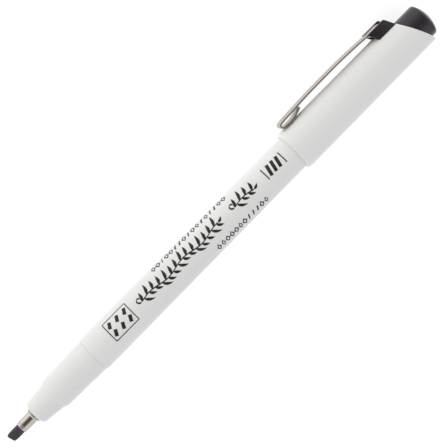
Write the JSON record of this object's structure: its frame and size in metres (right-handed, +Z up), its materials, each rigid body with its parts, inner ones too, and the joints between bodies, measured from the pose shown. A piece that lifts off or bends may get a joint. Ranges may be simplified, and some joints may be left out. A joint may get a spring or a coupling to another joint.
{
  "type": "calligraphy marker",
  "caption": "Broad-edge felt-tip calligraphy marker with a round tapered barrel and its clip cap posted on the tail.",
  "frame": {"origin": "centre of the bounding box's bottom, on the surface that the pen lies on", "axes": "X along the pen, +X towards the nib; +Z up; the clip leans to -Y and its block touches the surface"},
  "size_m": [0.1534, 0.0146, 0.0118],
  "materials": {
    "white_plastic": "satin moulded polypropylene",
    "black_plastic": "satin moulded plastic",
    "natural_plastic": "unpigmented moulded plastic",
    "polished_metal": "polished nickel plate",
    "spring_steel": "plated spring strip",
    "inked_felt": "pressed fibre soaked with ink",
    "ink_wadding": "bundled fibre soaked with ink"
  },
  "bodies": {
    "pen": {"nib": "inked_felt", "ferrule": "polished_metal", "grip_section": "white_plastic", "nib_holder": "natural_plastic", "barrel": "white_plastic", "reservoir_core": "ink_wadding", "reservoir_film": "natural_plastic", "tail_plug": "white_plastic"},
    "cap_lining": {"cap_liner": "natural_plastic"},
    "cap": {"cap_tube": "white_plastic", "cap_plug": "black_plastic"},
    "clip_strip": {"clip": "spring_steel"}
  },
  "joints": [
    {"name": "cap_slide", "type": "slide", "parent": "pen", "child": "cap_lining", "axis": [-1, 0, 0], "range_m": [0, 0.04]},
    {"name": "cap_turn", "type": "hinge", "parent": "cap_lining", "child": "cap", "pos_m": [-0.05165, 0.00139, 0.00592], "axis": [1, 0, 0], "continuous": true},
    {"name": "clip_flex", "type": "hinge", "parent": "cap", "child": "clip_strip", "pos_m": [-0.06589, -0.00568, 0.00322], "axis": [0, 0.3573, -0.934], "range_deg": [0, 3.5], "stiffness_Nm_per_rad": 0.1, "springref_deg": -1.72}
  ]
}
